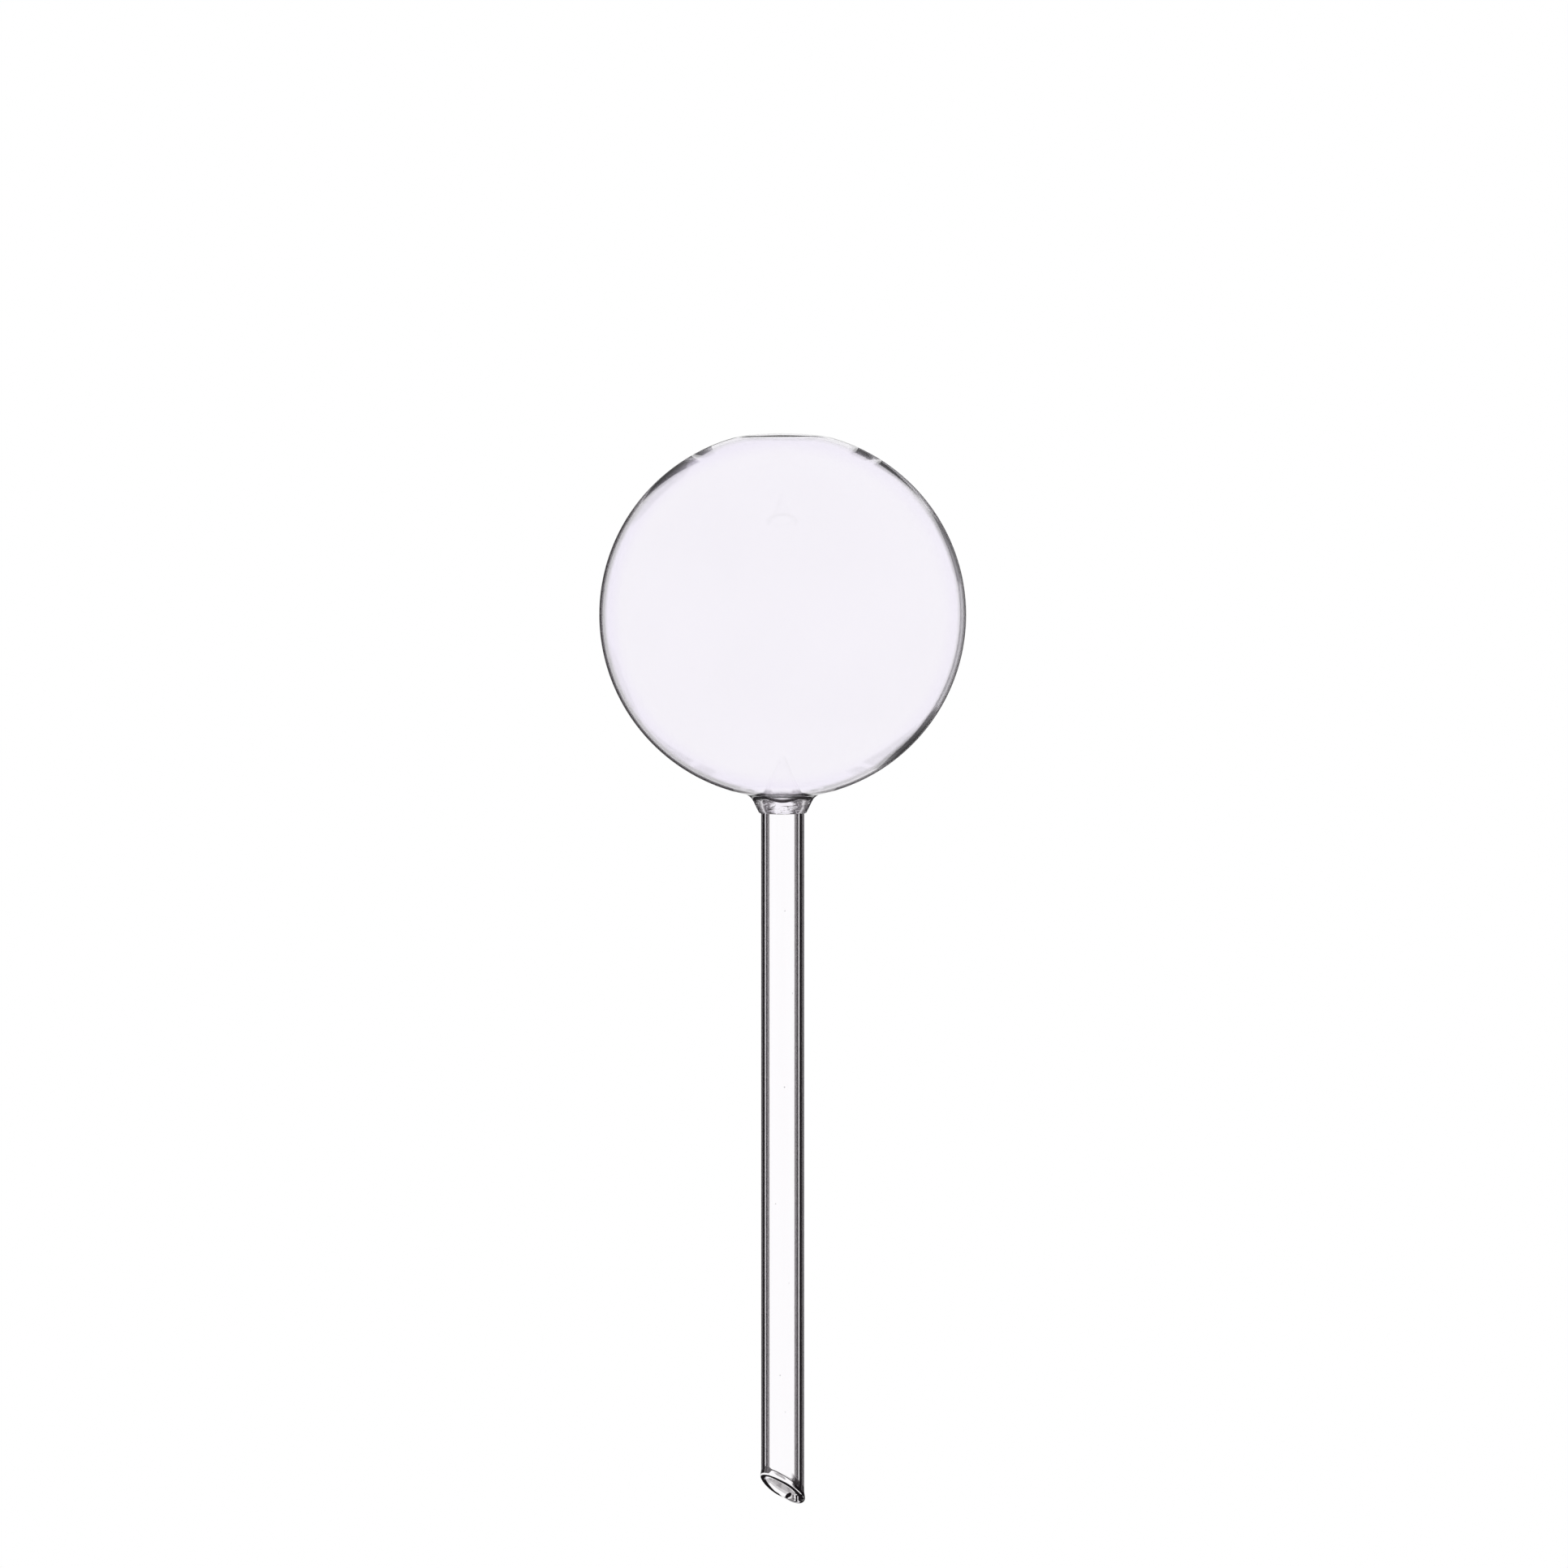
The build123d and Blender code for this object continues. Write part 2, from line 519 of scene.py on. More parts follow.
class Number:
    """A socket that can be written in sums: each operator adds one Math node."""

    __add__, __radd__ = sums("ADD"), sums("ADD", True)
    __sub__, __rsub__ = sums("SUBTRACT"), sums("SUBTRACT", True)
    __mul__, __rmul__ = sums("MULTIPLY"), sums("MULTIPLY", True)
    __truediv__ = sums("DIVIDE")
    larger = sums("MAXIMUM")

    def __init__(self, nodes, socket):
        self.nodes = nodes
        self.socket = socket

    def rise(self, low, high, least=0.0, most=1.0):
        """Eases from least to most while the value goes from low to high."""
        return self.nodes.number(
            "ShaderNodeMapRange", 0, {0: self, 1: low, 2: high, 3: least, 4: most},
            {"interpolation_type": "SMOOTHSTEP"},
        )

    def band(self, low, full, still_full, high):
        """Eases from 0 to 1 between the first two values and back between the last two."""
        return self.rise(low, full) * self.rise(high, still_full)

    def channels(self, stops):
        """Three values read off a colour ramp that is given as pairs of place and colour."""
        node = self.nodes.add("ShaderNodeValToRGB", {0: self})
        elements = node.color_ramp.elements
        while len(elements) < len(stops):
            elements.new(1.0)
        for element, (place, colour) in zip(elements, stops):
            element.position = place
            element.color = colour
        return self.nodes.parts("ShaderNodeSeparateColor", node.outputs[0])

    def ramp(self, stops):
        """A value read off a ramp that is given as pairs of place and height."""
        return self.channels([(at, (height, height, height, 1.0)) for at, height in stops])[0]


class Nodes:
    """The nodes of one material or world."""

    def __init__(self, tree):
        self.tree = tree
        tree.nodes.clear()

    def add(self, kind, sockets=None, settings=None):
        """Adds a node and sets its settings, then its sockets, each to a value or a link."""
        node = self.tree.nodes.new(kind)
        for name, value in (settings or {}).items():
            setattr(node, name, value)
        for name, value in (sockets or {}).items():
            value = value.socket if isinstance(value, Number) else value
            if isinstance(value, bpy.types.NodeSocket):
                self.tree.links.new(value, node.inputs[name])
            else:
                node.inputs[name].default_value = value
        return node

    def math(self, operation, first, second=0.0):
        """The Math node of that operation on two values."""
        node = self.add("ShaderNodeMath", {0: first, 1: second}, {"operation": operation})
        return Number(self, node.outputs[0])

    def number(self, kind, output, sockets=None, settings=None):
        """A node's output as a number that can be written in sums."""
        return Number(self, self.add(kind, sockets, settings).outputs[output])

    def parts(self, kind, value):
        """The outputs, as numbers, of a node that takes a vector or a colour apart."""
        return [Number(self, output) for output in self.add(kind, {0: value}).outputs]

    def blend(self, share, first, second):
        """Mixes two colours by a share."""
        return self.add(
            "ShaderNodeMix", {0: share, 6: first, 7: second}, {"data_type": "RGBA"}
        ).outputs[2]


def new_material(name):
    """An empty material and its nodes."""
    material = bpy.data.materials.new(name)
    material.use_nodes = True
    return material, Nodes(material.node_tree)


def weld_material():
    """The inside of a weld: the glass goes on through it, so light passes straight."""
    material, nodes = new_material("weld_seam")
    clear = nodes.add("ShaderNodeBsdfTransparent", {"Color": WHITE})
    nodes.add("ShaderNodeOutputMaterial", {"Surface": clear.outputs[0]})
    return material


# Sine of the view's elevation at which the painted shade is gone, and at which it is whole
STEEP_VIEW = (0.64, 0.52)


class GlassPoint:
    """What the painted shade may depend on at a point of the glass, as numbers: its place in
    millimetres, a cloud of noise, facing, which is how edge on the surface is seen, and
    sideways, the same without how steeply the view comes down, so that it finds the sides of an
    upright tube from any height. Front is 1 on the skins that face the eye, and falls to 0 as
    the view gets steep."""

    def __init__(self, nodes, grain):
        self.nodes = nodes
        self.place = nodes.add("ShaderNodeTexCoord").outputs["Object"]
        parts = nodes.parts("ShaderNodeSeparateXYZ", self.place)
        self.x, self.y, self.z = (part / MM for part in parts)
        self.radius = nodes.math("SQRT", self.x * self.x + self.y * self.y)
        self.cloud = self.noise(grain)
        self.facing = nodes.number("ShaderNodeLayerWeight", "Facing", {"Blend": 0.5})
        upright = nodes.add("ShaderNodeCombineXYZ", {2: 1.0}).outputs[0]
        sockets = {"Blend": 0.5, "Normal": upright}
        steep = 1.0 - nodes.number("ShaderNodeLayerWeight", "Facing", sockets)
        # A hair over 1, so that a view straight down divides by more than nothing
        flat = nodes.math("SQRT", 1.001 - steep * steep)
        self.sideways = 1.0 - (1.0 - self.facing) / flat
        inside = nodes.number("ShaderNodeNewGeometry", "Backfacing")
        self.front = (1.0 - inside) * steep.rise(*STEEP_VIEW)

    def noise(self, grain):
        """Noise from 0 to 1, its grain given for each axis in grains a metre."""
        sockets = {"Vector": self.place, "Scale": grain}
        stretched = self.nodes.add("ShaderNodeMapping", sockets).outputs[0]
        sockets = {"Vector": stretched, "Scale": 1.0, "Detail": 3.0, "Roughness": 0.5}
        return self.nodes.number("ShaderNodeTexNoise", "Fac", sockets)


# Each glass: its tint among the colours, the grains a metre of its cloud along each axis, and
# the height of its waves in metres
GLASSES = {
    "blown_glass": ("clear", (30.0, 30.0, 30.0), 0.00002),
    "seal_glass": ("clear", (400.0, 400.0, 1100.0), 0.00004),
    "tube_glass": ("tube", (900.0, 900.0, 12.0), 0.00001),
}

# Share of each colour that the glass lets through near its rim, and where the cloud is densest
RIM_TINT = (0.927, 0.900, 0.982)
CLOUD_TINT = 0.96


def glass_material(name, painted_shade_of):
    """Clear glass. Its tint drifts a little over the surface and turns violet towards the rim,
    and a very faint bump gives the waves or draw lines that the flame left. The function given
    last gives the share of painted shade at a point, from 0 to 1: the dark where the wall is
    seen edge on, painted by mixing in a dark diffuse shader."""
    look = bpy.context.scene.globe_glass
    tint_name, grain, wave = GLASSES[name]
    tint = getattr(look, tint_name)
    material, nodes = new_material(name)
    point = GlassPoint(nodes, grain)
    painted_shade = painted_shade_of(point)
    deeper = tuple(CLOUD_TINT * part for part in tint)
    violet = tuple(share * part for share, part in zip(RIM_TINT, tint))
    drift = point.cloud.rise(0.35, 0.75, 0.0, 0.3)
    body = nodes.blend(drift, (*tint, 1), (*deeper, 1))
    rim = point.facing.rise(0.5, 0.75) * point.x.rise(-15.0, 30.0, 1.0, 0.75)
    body = nodes.blend(rim, body, (*violet, 1))
    # Under the painted shade the glass takes the painted shade's tint
    body = nodes.blend(painted_shade, body, (*look.painted_shade, 1))
    sockets = {"Strength": 0.2, "Distance": wave, "Height": point.cloud}
    bump = nodes.add("ShaderNodeBump", sockets).outputs[0]
    sockets = {
        "Base Color": body, "Roughness": 0.0, "IOR": look.index,
        "Transmission Weight": 1.0, "Normal": bump,
    }
    glass = nodes.add("ShaderNodeBsdfPrincipled", sockets).outputs[0]
    # Painted shade: a dark diffuse shader mixed in by the share above, where the glass is seen
    # edge on
    shade = nodes.add("ShaderNodeBsdfDiffuse", {"Color": (*look.edge, 1)}).outputs[0]
    shader = nodes.add("ShaderNodeMixShader", {0: painted_shade, 1: glass, 2: shade})
    nodes.add("ShaderNodeOutputMaterial", {"Surface": shader.outputs[0]})
    return material


# Painted shade by how edge on the glass is seen, from 0 to 1: pairs of place and share
BULB_PAINTED_SHADE = (
    (0.76, 0.0), (0.80, 0.15), (0.83, 0.5), (0.86, 0.8), (0.93, 0.8), (0.965, 0.25),
)
SEAL_PAINTED_SHADE = (
    (0.17, 0.0), (0.24, 0.75), (0.36, 0.8), (0.42, 0.25), (0.52, 0.75), (0.7, 0.95),
    (0.9, 0.95),
)
STEM_PAINTED_SHADE = (
    (0.172, 0.0), (0.192, 0.66), (0.25, 0.8), (0.29, 0.92), (0.335, 0.95), (0.355, 0.3),
    (0.39, 0.3), (0.415, 0.96), (0.46, 1.0), (0.54, 1.0), (0.59, 0.92), (0.69, 0.86),
    (0.95, 0.72),
)
LIP_PAINTED_SHADE = (
    (0.0, 0.1), (0.12, 0.1), (0.18, 0.7), (0.28, 0.9), (0.33, 0.1), (0.38, 0.1), (0.43, 1.0),
    (0.55, 1.0), (0.6, 0.15), (0.67, 0.15), (0.72, 1.0), (1.0, 0.95),
)


# Heights over the bulb's centre in millimetres, each from where a share of painted shade is
# nothing to where it is whole: the crown's round, the flat cap, the outline that ends at it, the
# bottom, the top
CROWN_ROUND, CAP, OUTLINE_END = (37.8, 39.2), (41.1, 41.4), (41.3, 40.9)
BOTTOM, TOP = (-40.6, -41.3), (22.0, 30.0)


def bulb_painted_shade(point):
    """Painted shade: the dark line round the rim. It weakens towards the top and the right and
    nearly ends at the bottom. The crown's round has a fainter painted outline instead, and the
    flat cap has a thin painted dark line where it is seen at one slant."""
    up = point.z - bulb_centre_height() / MM
    crown = up.rise(*CROWN_ROUND)
    cap_line = point.facing.band(0.862, 0.874, 0.888, 0.9) * up.rise(*CAP) * 0.85
    outline = point.facing.rise(0.9, 0.94) * up.rise(*OUTLINE_END) * crown
    outline = outline * point.x.rise(-4.0, 8.0, 0.75, 0.4)
    share = 1.0 - crown - up.rise(*BOTTOM) * 0.8
    share = share * up.rise(*TOP, 1.0, 0.3) * point.x.rise(-10.0, 30.0, 1.0, 0.6)
    rim = point.facing.ramp(BULB_PAINTED_SHADE) * share
    return (rim + cap_line + outline) * point.front


# Height of the painted dark line at the weld over the shoulder, and how far it wavers, in
# millimetres, and the grains a metre of the clear specks in the painted shade
WELD_LINE, WELD_WAVER = 3.45, 0.5
SPECK_GRAIN = (2300.0, 2300.0, 3100.0)


def seal_painted_shade(point):
    """Painted shade in the outer skin up to the weld's line, drawn about by the cloud like
    melted glass and broken by clear specks. The painted line is dark and wavers round the neck
    four
    times: its height goes with the cosine of four times the angle, written in x and y. Over it,
    in the middle, a painted shade runs out upwards, and under it a thin painted line crosses the
    right side."""
    height = point.z - bpy.context.scene.globe_stem.length / MM
    x2, y2 = point.x * point.x, point.y * point.y
    r2 = x2 + y2
    waver = 1.0 - x2 * y2 * 8.0 / (r2 * r2)
    up = height - WELD_LINE + waver * WELD_WAVER
    drift = point.cloud - 0.5
    specks = point.noise(SPECK_GRAIN).rise(0.6, 0.64)
    under = up.rise(0.0, -0.15)
    body = (point.sideways + drift * 0.22).ramp(SEAL_PAINTED_SHADE) * (1.0 - specks * 0.9) * under
    line = up.band(-0.24, -0.08, 0.06, 0.28) * 0.97
    shade = up.rise(1.0, 0.4, 0.0, 0.95) * x2.rise(40.0, 20.0) * (1.0 - under)
    thin = (height + drift * 0.5).band(1.8, 1.9, 2.0, 2.1)
    thin = thin * point.x.rise(-1.0, 1.0) * 0.7
    skin = (point.radius - height * 0.45).rise(4.6, 4.9)
    return body.larger(line).larger(shade).larger(thin) * skin * point.front


# Grains a metre of the swirls in the painted shade of the melted tip
SWIRL_GRAIN = (700.0, 700.0, 700.0)


class TipPlace:
    """Where a point of the stem lies about the slanted cut, in millimetres: how far along
    towards the low side, and how high above the middle of the lip. Left and right are 1 at the
    two ends of the tip seen from the front, and swirl is the noise that frays the painted shade
    of the melted glass."""

    def __init__(self, point):
        stem = bpy.context.scene.globe_stem
        slope = math.tan(stem.slant)
        wall_middle = stem.diameter / 2 / MM - LIP_INSET
        lip_height = stem.lip_radius / MM + wall_middle * slope
        self.along = point.x * math.cos(stem.turn) + point.y * math.sin(stem.turn)
        self.above = point.z + self.along * slope - lip_height
        self.left = point.x.rise(-2.4, -3.4)
        self.right = point.x.rise(1.8, 3.0)
        self.swirl = point.noise(SWIRL_GRAIN)


def lip_painted_shade(point, tip):
    """Painted shade on the melted lip. Its near side has a dark line along the underside,
    thinner to the left, and on the right the dark of the wall runs down into it. Its far side
    has a dark edge that widens to the left, a grey top, and streaks on the right."""
    streaky = point.x.rise(0.5, 2.0)
    streaks = (point.facing + (tip.swirl - 0.5) * 0.3).ramp(LIP_PAINTED_SHADE)
    under = tip.above - point.x.rise(-1.5, -4.5, 0.0, 0.5)
    edge = under.rise(-0.65, -0.75) * point.x.rise(0.2, -1.0)
    grey = tip.above.rise(0.1, 0.3) * 0.35
    far = streaks * streaky + (edge + grey) * (1.0 - streaky)
    lower = point.x.rise(3.0, -2.0, 0.12, 0.42)
    line = (tip.above + lower).rise(-0.2, -0.3)
    line = line.larger(tip.right * tip.above.rise(-0.25, -0.1))
    near = point.y.rise(0.6, -0.6) * tip.along.rise(3.2, 2.2)
    return far * (1.0 - near) + line * near


def bore_painted_shade(point, tip):
    """Painted shade on the far wall of the bore: grey where it is seen through the opening, and
    again in a wedge that is seen over the near lip. Level is how far over the near lip a point
    is seen."""
    level = tip.above - point.y * 0.75
    opening = level.rise(-0.45, -0.8) * tip.above.rise(0.7, 1.1, 0.6, 1.0)
    wedge = level.rise(0.8, 1.1) * (point.z + point.x * 0.2).rise(6.4, 6.0) * 0.45
    return tip.swirl.rise(0.38, 0.55, 0.5, 0.66) * (opening + wedge)


def spot_painted_shade(point, tip):
    """A painted dark spot of shade on the far side by the low end: a slanted ellipse frayed by
    the swirls.
    """
    across, up = point.x - 1.3, point.z - 1.7
    rising, falling = across + up, across - up
    spread = rising * rising * 0.7 + falling * falling * 2.4 + (tip.swirl - 0.5) * 3.0
    return spread.rise(1.2, 0.7) * point.y.rise(0.0, 0.5)


def stem_painted_shade(point):
    """Painted shade: dark lines down the outer skin, a little nearer to the middle on the right,
    where the wall is thicker. Near the tip the right wall is painted dark, and a painted dark
    bead runs round over the lip, lower and thicker on the left. The lip, the bore and the dark
    spot have painted shade of their own."""
    tip = TipPlace(point)
    outer = point.radius.rise(4.15, 4.5)
    heavy = tip.right * tip.above.rise(3.2, 2.2) * 0.95
    bead = (tip.above + tip.left).rise(0.7, 0.78)
    bead = bead * (tip.above - tip.left * 0.4).rise(1.1, 1.0) * 0.85
    body = (point.sideways + point.x * 0.0086).ramp(STEM_PAINTED_SHADE)
    body = body.larger(heavy).larger(bead) * outer
    bore = bore_painted_shade(point, tip) * (1.0 - outer)
    shade_spot = spot_painted_shade(point, tip)
    body = (body + bore * (1.0 - body)).larger(shade_spot)
    lip = lip_painted_shade(point, tip).larger(shade_spot)
    at_lip = (tip.above + tip.left).rise(0.78, 0.68)
    return (body * (1.0 - at_lip) + lip * at_lip) * point.front


# Pieces


def both_sides(outer, inner, kept_outer, kept_inner):
    """Rows and normals of one skin: down the kept rows of the outside and back up those of the
    inside. The normals are those of the whole surfaces, so they agree across a weld."""
    rows = np.concatenate([outer[kept_outer], inner[kept_inner][::-1]])
    normals = [normals_of(outer)[kept_outer], -normals_of(inner)[kept_inner][::-1]]
    return rows, np.concatenate(normals)


def make_piece(name, node, slot, shape, painted_shade_of):
    """Makes one piece of glass, which rides on the one body and stands for its CAD node."""
    material = glass_material(slot, painted_shade_of)
    piece = glass_object(name, shape, [material, weld_material()])
    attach(piece, "root")
    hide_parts(node)


class GLOBE_OT_bulb(bpy.types.Operator):
    """Blow the bulb: a thin sphere with a flatter crown, open where the seal is welded on"""

    bl_idname = "globe.bulb"
    bl_label = "Bulb"

    def execute(self, context):
        outer, outer_weld = outer_surface()
        inner, inner_weld = inner_surface()
        rows, normals = both_sides(
            outer, inner, slice(None, outer_weld + 1), slice(None, inner_weld + 1)
        )
        shape = skin(rows, normals, [outer_weld], False)
        points, normals, quads, weld_quads, triangles = shape
        bulb = context.scene.globe_bulb
        top = bulb_centre_height() + bulb.diameter / 2 - bulb.crown_drop
        poles = [[0.0, 0.0, top], [-bulb.lean, 0.0, top - bulb.wall]]
        count = len(points)
        caps = [fan_faces(count, 0, True), fan_faces(count + 1, count - TURNS, False)]
        triangles = np.concatenate([triangles, *caps])
        points = np.concatenate([points, poles])
        normals = np.concatenate([normals, [[0.0, 0.0, 1.0], [0.0, 0.0, -1.0]]])
        shape = (points, normals, quads, weld_quads, triangles)
        make_piece("blown_bulb", "bulb", "blown_glass", shape, bulb_painted_shade)
        return {"FINISHED"}


# Heights over the shoulder and half sizes between which bubbles are drawn, in millimetres
BUBBLE_HEIGHTS, BUBBLE_SIZES = (0.6, 3.3), (0.10, 0.26)


class GLOBE_OT_seal(bpy.types.Operator):
    """Melt the flared seal between bulb and stem, with the bubbles and rings of the flame"""

    bl_idname = "globe.seal"
    bl_label = "Neck seal"

    def execute(self, context):
        outer, outer_weld = outer_surface()
        inner, inner_weld = inner_surface()
        rows, normals = both_sides(
            outer, inner, slice(outer_weld, None), slice(inner_weld, None)
        )
        foot = len(outer) - outer_weld - 1
        shape = skin(rows, normals, [foot, len(rows) - 1], True)
        shape = with_bubbles(shape, self.bubbles())
        make_piece("flared_seal", "neck_seal", "seal_glass", shape, seal_painted_shade)
        return {"FINISHED"}

    @staticmethod
    def bubbles():
        """Centres and half sizes of the bubbles. They lie at drawn angles and heights, midway
        between the flare and the funnel, none fills more than 0.55 of the room there, and each
        is flattened by the weld."""
        draw = np.random.default_rng(7)
        seal, stem = all_sizes()[1:]
        found = []
        for number in range(seal.bubbles):
            angle = 2 * math.pi * (number / max(seal.bubbles, 1)) + draw.uniform(-0.2, 0.2)
            up = draw.uniform(*BUBBLE_HEIGHTS) * MM
            outer = stem.diameter / 2 + seal.shoulder_step + up * math.tan(seal.flare_angle)
            inner = stem.bore / 2 + up * math.tan(seal.funnel_angle) + 0.2 * MM
            room = (outer - inner) / 2
            radius = (outer + inner) / 2
            size = min(draw.uniform(*BUBBLE_SIZES) * MM, 0.55 * room)
            centre = (radius * math.cos(angle), radius * math.sin(angle), stem.length + up)
            found.append((centre, (size, size, 0.7 * size)))
        return found


# Specks in the stem: across the picture, height above the tip and half size, and how deep they
# all lie under its outside, in millimetres
STEM_SPECKS = (
    (2.31, 6.7, 0.19), (-0.42, 6.1, 0.16), (0.9, 5.4, 0.12), (0.5, 139.2, 0.10),
    (0.4, 98.2, 0.13), (2.2, 120.0, 0.09), (-1.6, 71.0, 0.10), (1.4, 52.5, 0.09),
    (-0.6, 31.0, 0.11), (0.6, 22.4, 0.09),
)
SPECK_DEPTH = 0.45


class GLOBE_OT_stem(bpy.types.Operator):
    """Draw the open tube stem, cut its tip on a slant and melt the lip round"""

    bl_idname = "globe.stem"
    bl_label = "Stem"

    def execute(self, context):
        rows = stem_surface()
        shape = skin(rows, normals_of(rows), [len(rows) - 1], True)
        ring = context.scene.globe_stem.diameter / 2 - SPECK_DEPTH * MM
        specks = []
        for across, height, size in STEM_SPECKS:
            depth = -math.sqrt(ring**2 - (across * MM) ** 2)
            specks.append(((across * MM, depth, height * MM), (size * MM,) * 3))
        shape = with_bubbles(shape, specks)
        make_piece("tube_stem", "stem", "tube_glass", shape, stem_painted_shade)
        return {"FINISHED"}


# Studio


# How much of the floor glows near the globe, between which distances in metres that grows to
# all of it, the tint of its fibres, and the tent's strength as a light
FLOOR_GLOW, FLOOR_FADE = 0.6, (0.15, 0.45)
FIBRE_TINT = 0.97
TENT_LIGHT = 0.62

# In degrees: what a full channel of the rim's ramp stands for, the bulb's half width as the
# camera sees it, the sum of spread and reach at which a card is gone and is whole, and a radian
FULL_REACH = 60.0
HALF_WIDTH = 1.2
CARD_END = (46.0, 40.0)
DEGREES = 180 / math.pi

# Where the soft lamp stands in metres, how it is turned in degrees, and how wide it is
LAMP_PLACE = (-0.5, -0.5, 1.25)
LAMP_TURN = (25, -22, 0)
LAMP_WIDTH = 0.9


def light_paths(nodes):
    """Three numbers that are 1 for what the camera sees directly, for what it sees through
    glass, and for what it sees mirrored, and 0 for the rest. A ray that has passed glass also
    counts as glossy, so that is taken off."""
    path = nodes.add("ShaderNodeLightPath")
    seen = Number(nodes, path.outputs["Is Camera Ray"])
    through = Number(nodes, path.outputs["Is Transmission Ray"])
    mirrored = Number(nodes, path.outputs["Is Glossy Ray"]) * (1.0 - through)
    return seen, through, mirrored


def floor_material(paper):
    """Pale paper. To the camera a part of it is lit and takes the shadow, less of it the farther
    away, and the rest glows white, so the floor joins the white around it. Through glass or
    mirrored it is all white."""
    material, nodes = new_material("studio_paper")
    seen, through, mirrored = light_paths(nodes)
    place = nodes.add("ShaderNodeTexCoord").outputs["Object"]
    sockets = {"Vector": place, "Scale": 400.0, "Detail": 4.0}
    fibre = nodes.number("ShaderNodeTexNoise", "Fac", sockets)
    deeper = tuple(FIBRE_TINT * part for part in paper)
    colour = nodes.blend(fibre, (*paper, 1), (*deeper, 1))
    lit = nodes.add("ShaderNodeBsdfDiffuse", {"Color": colour}).outputs[0]
    glow = nodes.add("ShaderNodeEmission", {"Color": WHITE, "Strength": 1.0}).outputs[0]
    away = nodes.number("ShaderNodeVectorMath", "Value", {0: place}, {"operation": "LENGTH"})
    share = seen * away.rise(*FLOOR_FADE, FLOOR_GLOW, 1.0) + through + mirrored
    mixed = nodes.add("ShaderNodeMixShader", {0: share, 1: lit, 2: glow}).outputs[0]
    nodes.add("ShaderNodeOutputMaterial", {"Surface": mixed})
    return material


# What lies behind the bulb, from its right side over the top, at plus angles, and over the
# bottom, at minus angles: the angle, the white's reach, the card's lightness, and the reach of
# the dark that the rim mirrors. The angle and the reaches are in degrees. Short reaches are
# cards that make the dark crescents on the bulb's rim, and long ones are the open top, the open
# bottom and two gaps in the crescents
RIM_STOPS = (
    (-107, 22, 0.5, 21), (-105, 40, 1, 0), (-75, 40, 1, 0), (-72, 22, 0.3, 19),
    (-57.5, 22, 0.35, 19), (-51.5, 9.5, 0.35, 27), (-47, 8, 0.12, 30), (-40, 9.4, 0.1, 30),
    (-33, 10.8, 0.25, 31), (-28, 22, 0.4, 31), (9, 22, 0.5, 29), (14, 10.5, 0.6, 29),
    (26, 11.6, 0.4, 27), (36, 21, 0.2, 21), (46.5, 16.5, 0.1, 24), (51, 12.6, 0.1, 26),
    (57.4, 10.2, 0.12, 27), (57.7, 40, 1, 0), (58.6, 40, 1, 0), (58.9, 9.2, 0.15, 29),
    (65.3, 8.6, 0.2, 29), (65.9, 40, 1, 0), (112.6, 40, 1, 0), (113.2, 9.2, 0.5, 24),
    (118.3, 8.6, 0.15, 28), (118.6, 40, 1, 0), (120.6, 40, 1, 0), (120.9, 5.4, 0.25, 37),
    (126, 6.4, 0.14, 34), (130, 8.2, 0.1, 31), (134, 10.4, 0.08, 28), (142, 22, 0.4, 22),
)


def tent_world(camera_elevation):
    """The white tent round the globe. Seen directly it is plain white. Behind the globe hang
    dark cards, which the bulb's rim bends and mirrors into dark crescents: they show through
    the glass from the white's reach on, and mirrored up to a reach of their own.
    Azimuth runs from +Y towards +X, and above is over the line from the camera to the bulb."""
    world = bpy.data.worlds.new("white_tent")
    world.use_nodes = True
    nodes = Nodes(world.node_tree)
    seen, through, mirrored = light_paths(nodes)
    direction = nodes.add("ShaderNodeTexCoord").outputs["Generated"]
    x, y, z = nodes.parts("ShaderNodeSeparateXYZ", direction)
    azimuth = nodes.math("ARCTAN2", x, y) * DEGREES
    above = nodes.math("ARCSINE", z) * DEGREES + camera_elevation

    # How far a direction lies outside the bulb as the camera sees it, and the angle round the
    # bulb, which the ramp turns into both reaches and how light the card is
    spread = nodes.math("SQRT", azimuth * azimuth + above * above) - HALF_WIDTH
    around = nodes.math("ARCTAN2", above, azimuth) / (2 * math.pi) + 0.5
    stops = tuple(
        (angle / 360.0 + 0.5, (reach / FULL_REACH, card, dark_reach / FULL_REACH, 1.0))
        for angle, reach, card, dark_reach in RIM_STOPS
    )
    reach, card, dark_reach = around.channels(stops)
    reach, dark_reach = reach * FULL_REACH, dark_reach * FULL_REACH
    crescent = (spread - reach).rise(-0.5, 0.5) * (spread + reach).rise(*CARD_END)
    shown = 1.0 - crescent * (1.0 - card)
    dark = (spread - dark_reach).rise(1.5, -1.0) * spread.rise(3.0, 6.0)
    mirror = 1.0 - dark * 0.92

    # A small card over the horizon, which the crown mirrors as a thin dark line
    off_axis = nodes.math("ABSOLUTE", azimuth)
    low_card = above.band(16.5, 17.5, 21.0, 22.0) * off_axis.rise(5.0, 3.5)
    mirror = mirror * (1.0 - low_card * 0.9)
    lighting = (1.0 - seen - through - mirrored) * TENT_LIGHT
    strength = seen + through * shown + mirrored * mirror + lighting
    light = nodes.add("ShaderNodeBackground", {"Color": WHITE, "Strength": strength})
    nodes.add("ShaderNodeOutputWorld", {"Surface": light.outputs[0]})
    return world


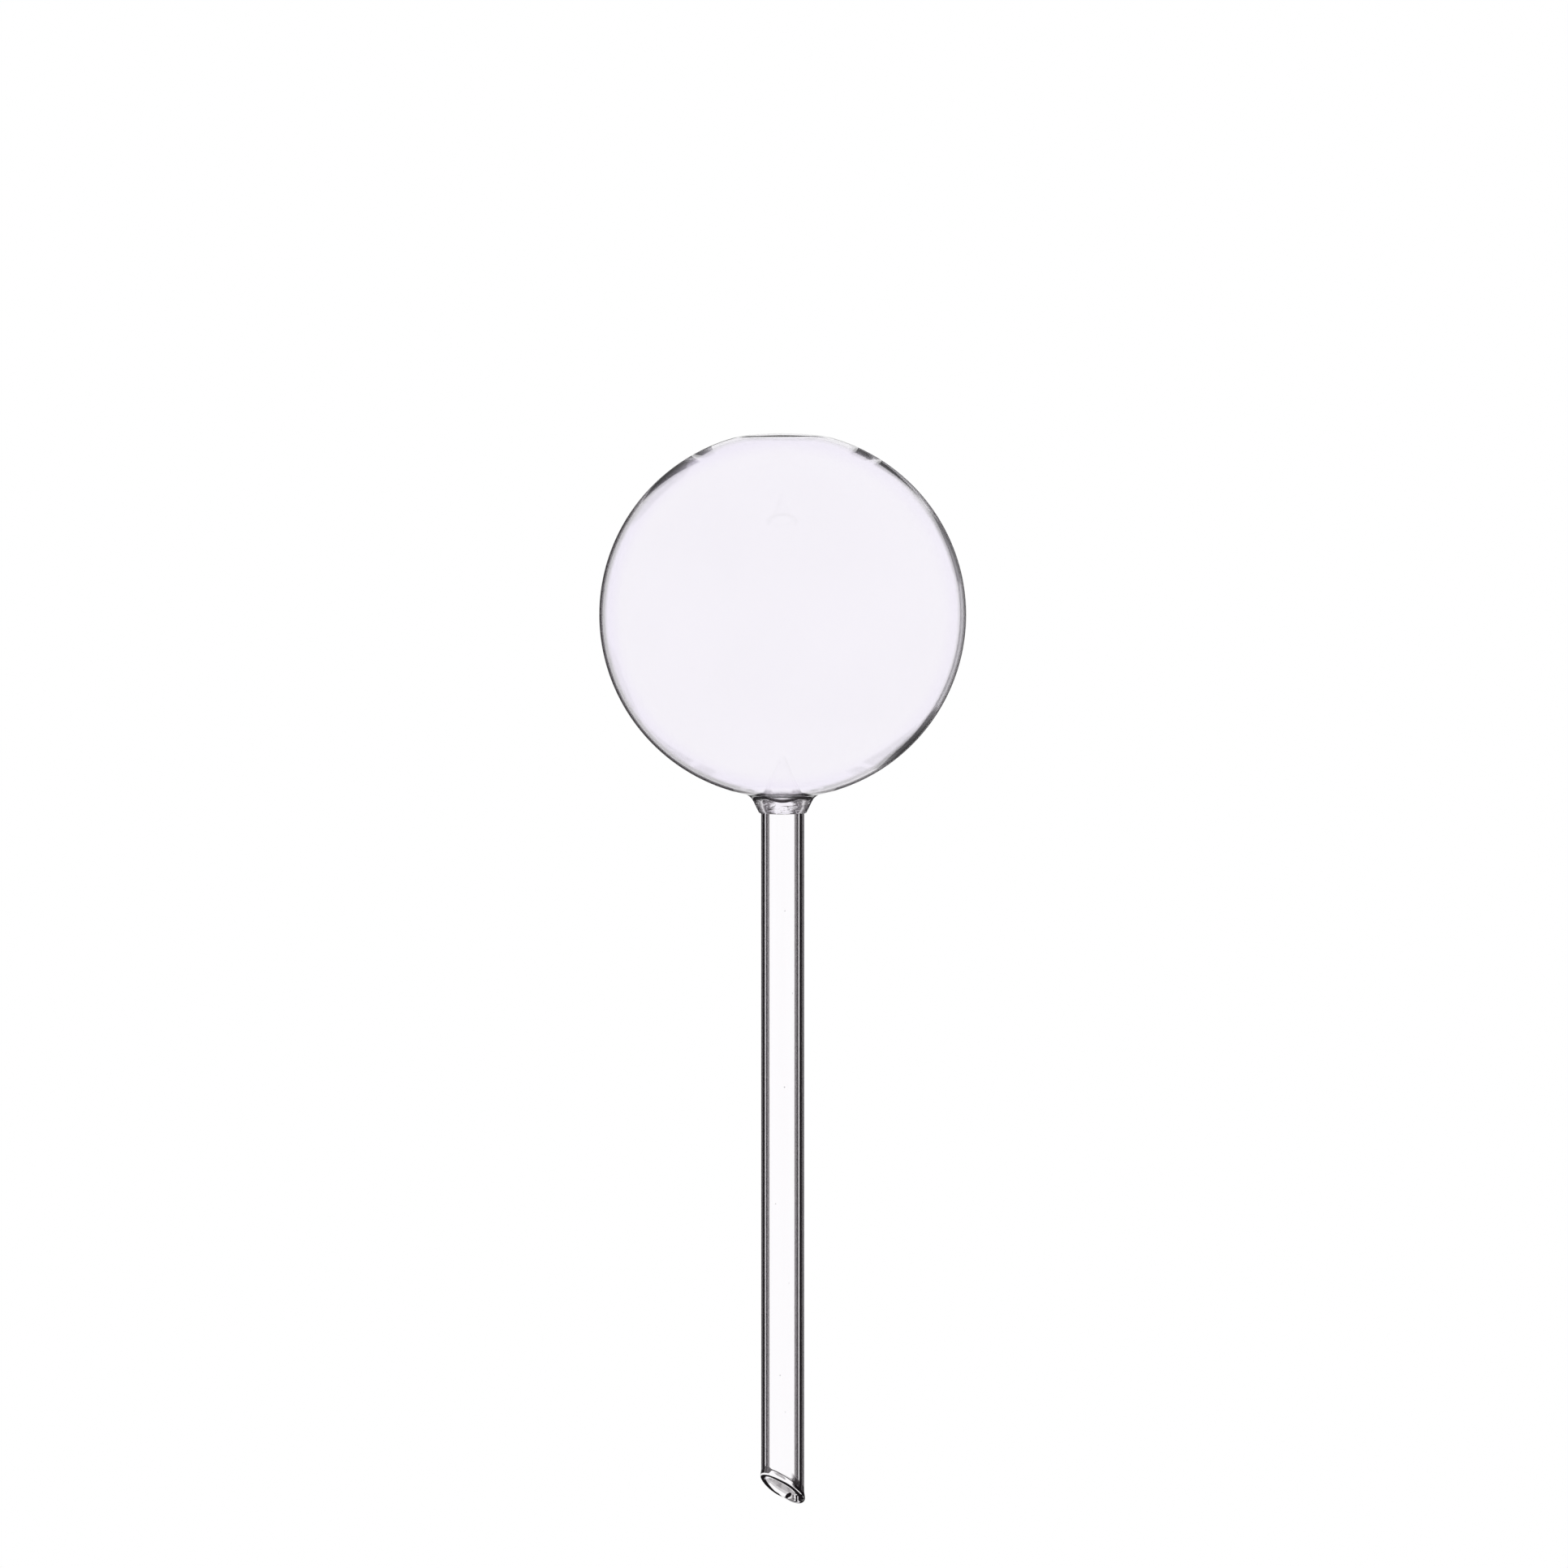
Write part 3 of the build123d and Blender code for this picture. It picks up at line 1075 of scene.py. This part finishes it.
class GLOBE_OT_studio(bpy.types.Operator):
    """Set up the floor, the soft lamp, the camera and the white tent"""

    bl_idname = "globe.studio"
    bl_label = "Studio"

    def execute(self, context):
        scene = context.scene
        studio = scene.globe_studio
        self.make_floor(studio)
        self.make_lamp(studio)
        self.make_camera(scene, studio)
        height = studio.height - bulb_centre_height()
        scene.world = tent_world(math.degrees(math.atan2(height, studio.distance)))
        scene.view_settings.view_transform = "Standard"
        return {"FINISHED"}

    @staticmethod
    def make_floor(studio):
        """A flat round floor: a grid of rings whose radius grows evenly, and a fan inside."""
        rings, first = 8, 0.02
        radius = np.linspace(first, studio.floor_radius, rings)[:, None]
        angle = turn_angles()[None, ::-1]
        points = about_axis(radius, -studio.floor_drop, angle).reshape(-1, 3)
        middle = np.array([[0.0, 0.0, -studio.floor_drop]])
        faces = grid_faces(rings, False).tolist()
        faces += fan_faces(len(points), 0, True).tolist()
        mesh = bpy.data.meshes.new("studio_floor")
        mesh.from_pydata(np.concatenate([points, middle]).tolist(), [], faces)
        mesh.materials.append(floor_material(tuple(studio.paper)))
        floor = bpy.data.objects.new("studio_floor", mesh)
        bpy.context.collection.objects.link(floor)

    @staticmethod
    def make_lamp(studio):
        """A soft lamp over the left shoulder. The glass doesn't mirror it."""
        lamp = bpy.data.lights.new("soft_lamp", "AREA")
        lamp.shape = "DISK"
        lamp.size = LAMP_WIDTH
        lamp.energy = studio.lamp_power
        holder = bpy.data.objects.new("soft_lamp", lamp)
        holder.location = LAMP_PLACE
        holder.rotation_euler = tuple(math.radians(turn) for turn in LAMP_TURN)
        holder.visible_glossy = False
        holder.visible_transmission = False
        bpy.context.collection.objects.link(holder)

    @staticmethod
    def make_camera(scene, studio):
        """The camera stands in front, a little above the bulb, and looks slightly down."""
        camera = bpy.data.cameras.new("camera")
        holder = bpy.data.objects.new("camera", camera)
        drop = studio.height - studio.aim
        sight = math.hypot(studio.distance, drop)
        camera.sensor_width = 36.0
        camera.lens = camera.sensor_width * sight / studio.view_width
        camera.clip_start = 0.05
        holder.location = (studio.aside, -studio.distance, studio.height)
        holder.rotation_euler = (math.pi / 2 - math.atan2(drop, studio.distance), 0.0, 0.0)
        bpy.context.collection.objects.link(holder)
        scene.camera = holder


class GLOBE_PT_panel(bpy.types.Panel):
    """Lists the pieces of the watering globe"""

    bl_label = "Watering Globe"
    bl_space_type = "VIEW_3D"
    bl_region_type = "UI"
    bl_category = "Watering Globe"

    def draw(self, context):
        for operator in OPERATORS:
            self.layout.operator(operator.bl_idname)


SETTINGS = {
    "globe_bulb": BulbSizes,
    "globe_seal": SealSizes,
    "globe_stem": StemSizes,
    "globe_glass": GlassLook,
    "globe_studio": StudioSettings,
}
OPERATORS = (GLOBE_OT_bulb, GLOBE_OT_seal, GLOBE_OT_stem, GLOBE_OT_studio)


def register():
    for name, group in SETTINGS.items():
        bpy.utils.register_class(group)
        setattr(bpy.types.Scene, name, bpy.props.PointerProperty(type=group))
    for operator in OPERATORS:
        bpy.utils.register_class(operator)
    bpy.utils.register_class(GLOBE_PT_panel)


def unregister():
    bpy.utils.unregister_class(GLOBE_PT_panel)
    for operator in reversed(OPERATORS):
        bpy.utils.unregister_class(operator)
    for name, group in reversed(SETTINGS.items()):
        delattr(bpy.types.Scene, name)
        bpy.utils.unregister_class(group)


def main():
    register()
    bpy.ops.globe.bulb()
    bpy.ops.globe.seal()
    bpy.ops.globe.stem()
    bpy.ops.globe.studio()


if __name__ == "__main__":
    main()
